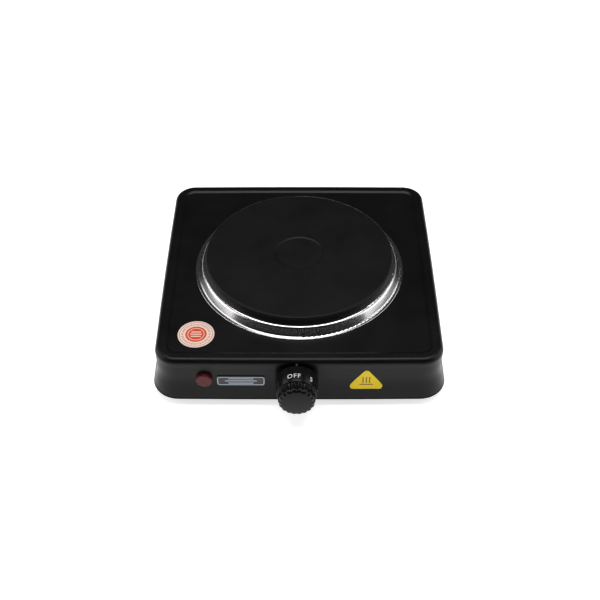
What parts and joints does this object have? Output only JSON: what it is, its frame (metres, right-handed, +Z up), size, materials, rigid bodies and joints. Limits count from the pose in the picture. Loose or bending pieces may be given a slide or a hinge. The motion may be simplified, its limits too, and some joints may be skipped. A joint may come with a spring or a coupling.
{
  "type": "single electric hot plate",
  "caption": "Countertop electric cooker: black steel housing, round cast-iron heating plate in a steel ring, thermostat knob and red lamp on the front.",
  "frame": {"origin": "centre of the object's box, on the surface that its feet stand on", "axes": "+Z up; the knob faces -Y; +X to the right seen from the knob's side"},
  "size_m": [0.2774, 0.3012, 0.0703],
  "materials": {
    "black_enamel": "gloss stove enamel",
    "base_paint": "thin black paint",
    "cast_iron": "matt black heat-proof coating, turned",
    "stainless": "polished stainless",
    "zinc_steel": "zinc plated",
    "spindle_steel": "turned and pressed steel",
    "rubber_black": "moulded rubber",
    "brass": "machined brass",
    "nickel": "nickel",
    "cement": "cast magnesia cement",
    "ceramic_white": "unglazed steatite",
    "spring_copper": "spring bronze",
    "bimetal": "rolled bimetal",
    "contact_silver": "silver contact",
    "knob_plastic": "gloss black phenolic",
    "lens_red": "transparent red acrylic",
    "bulb_glass": "clear glass",
    "block_plastic": "moulded nylon",
    "lead_brown": "silicone insulation",
    "lead_blue": "silicone insulation",
    "lead_earth": "green and yellow insulation",
    "plate_finish": "satin plate with a bright edge",
    "label_yellow": "printed foil",
    "label_round": "printed foil"
  },
  "bodies": {
    "housing": {"top_housing": "black_enamel", "base_plate": "base_paint", "hotplate_casting": "cast_iron", "spill_ring": "stainless", "corner_brackets": "zinc_steel", "foot_screws": "zinc_steel", "foot_washers": "zinc_steel", "cover_pan": "zinc_steel", "centre_stud": "zinc_steel", "clamp_bridge": "zinc_steel", "stud_washer": "zinc_steel", "stud_nut": "zinc_steel", "thermostat_mount": "zinc_steel", "stack_spacer": "zinc_steel", "stack_rivet": "zinc_steel", "thermostat_screws": "zinc_steel", "earth_stud": "zinc_steel", "earth_nut": "zinc_steel", "terminal_block_screw": "zinc_steel", "lamp_clip": "zinc_steel", "rubber_feet": "rubber_black", "cord_grommet": "rubber_black", "spindle_bush": "brass", "plate_terminal_sleeves": "brass", "plate_terminal_screws": "brass", "mains_terminal_sleeves": "brass", "mains_terminal_screws": "brass", "live_tab": "brass", "coil_pins": "nickel", "bus_strips": "nickel", "terminal_posts": "nickel", "heating_coils": "nickel", "fixed_blade": "nickel", "earth_tag": "nickel", "insulating_cement": "cement", "plate_terminal_block": "ceramic_white", "stack_insulators": "ceramic_white", "bimetal_pin": "ceramic_white", "lamp_resistor": "ceramic_white", "bimetal_strip": "bimetal", "fixed_contact": "contact_silver", "lamp_lens": "lens_red", "neon_bulb": "bulb_glass", "mains_terminal_block": "block_plastic", "live_lead": "lead_brown", "switched_lead": "lead_brown", "lamp_live_lead": "lead_brown", "neutral_lead": "lead_blue", "lamp_neutral_lead": "lead_blue", "earth_lead": "lead_earth", "name_plate": "plate_finish", "warning_label": "label_yellow", "round_label": "label_round"},
    "knob": {"control_knob": "knob_plastic", "thermostat_spindle": "spindle_steel", "spindle_circlip": "spindle_steel", "spindle_tip": "ceramic_white", "knob_spring_clip": "spindle_steel"},
    "contact_arm": {"moving_blade": "spring_copper", "moving_contact": "contact_silver"}
  },
  "joints": [
    {"name": "knob_turn", "type": "hinge", "parent": "housing", "child": "knob", "pos_m": [-0.0022, -0.11757, 0.033], "axis": [0.0002, 1, 0], "range_deg": [0, 315]},
    {"name": "contact_swing", "type": "hinge", "parent": "housing", "child": "contact_arm", "pos_m": [0.0168, -0.09683, 0.033], "axis": [0, 0, -1], "range_deg": [0, 3]}
  ],
  "couplings": [
    {"joint": "contact_swing", "follows": "knob_turn", "ratio": 0.0095}
  ]
}
